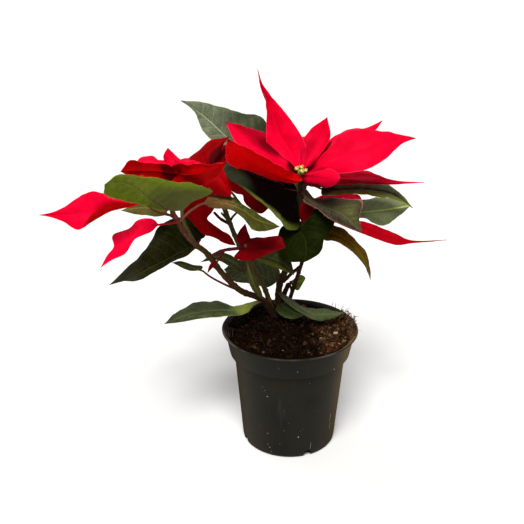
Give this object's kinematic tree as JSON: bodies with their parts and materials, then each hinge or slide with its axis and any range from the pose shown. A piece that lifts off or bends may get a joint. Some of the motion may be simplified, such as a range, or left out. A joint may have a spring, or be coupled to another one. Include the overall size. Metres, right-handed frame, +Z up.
{
  "type": "potted poinsettia",
  "caption": "Potted poinsettia: red star-shaped blooms and green leaves on branching stems, in a tapered black plastic nursery pot filled with soil.",
  "frame": {"origin": "centre of the pot's flat underside", "axes": "+Z up the pot axis, -Y towards the front of the plant, +X to the right of that front"},
  "size_m": [0.3113, 0.1926, 0.3281],
  "materials": {
    "pot_plastic": "satin",
    "potting_soil": "matte",
    "stem_bark": "satin",
    "leaf_green": "satin",
    "leaf_pale": "satin",
    "leaf_olive": "satin",
    "leaf_grey_pink": "satin",
    "leaf_dark": "satin",
    "bract_red": "satin",
    "bract_dark": "satin",
    "cyathium": "satin"
  },
  "bodies": {
    "root": {"pot": "pot_plastic", "soil": "potting_soil", "stem": "stem_bark", "leaf_back_left": "leaf_pale", "leaf_cupped": "leaf_dark", "leaf_grey_pink": "leaf_grey_pink", "leaf_right_upper": "leaf_dark", "leaf_right_rear": "leaf_pale", "leaf_round_centre": "leaf_dark", "leaf_hanging_right": "leaf_olive", "leaf_low_centre": "leaf_dark", "leaf_round_rear": "leaf_dark", "leaf_young": "leaf_olive", "leaf_front_left": "leaf_olive", "leaf_dark_left": "leaf_dark", "leaf_small_left": "leaf_dark", "leaf_bottom_left": "leaf_green", "leaf_over_soil": "leaf_green", "leaf_low_shaded": "leaf_dark", "leaf_olive_middle": "leaf_olive", "leaf_strip": "leaf_olive", "leaf_thin_left": "leaf_dark", "leaf_olive_far": "leaf_olive", "bract_long_right": "bract_red", "bract_long_left": "bract_red", "bract_small_left": "bract_red", "bract_under_right": "bract_red", "bract_hanging": "bract_dark", "bract_spike": "bract_dark", "bracts_right": "bract_red", "cyathia_right": "cyathium", "bracts_left": "bract_dark", "cyathia_left": "cyathium", "bracts_middle": "bract_dark", "cyathia_middle": "cyathium", "bracts_low": "bract_dark", "cyathia_low": "cyathium"}
  },
  "joints": []
}
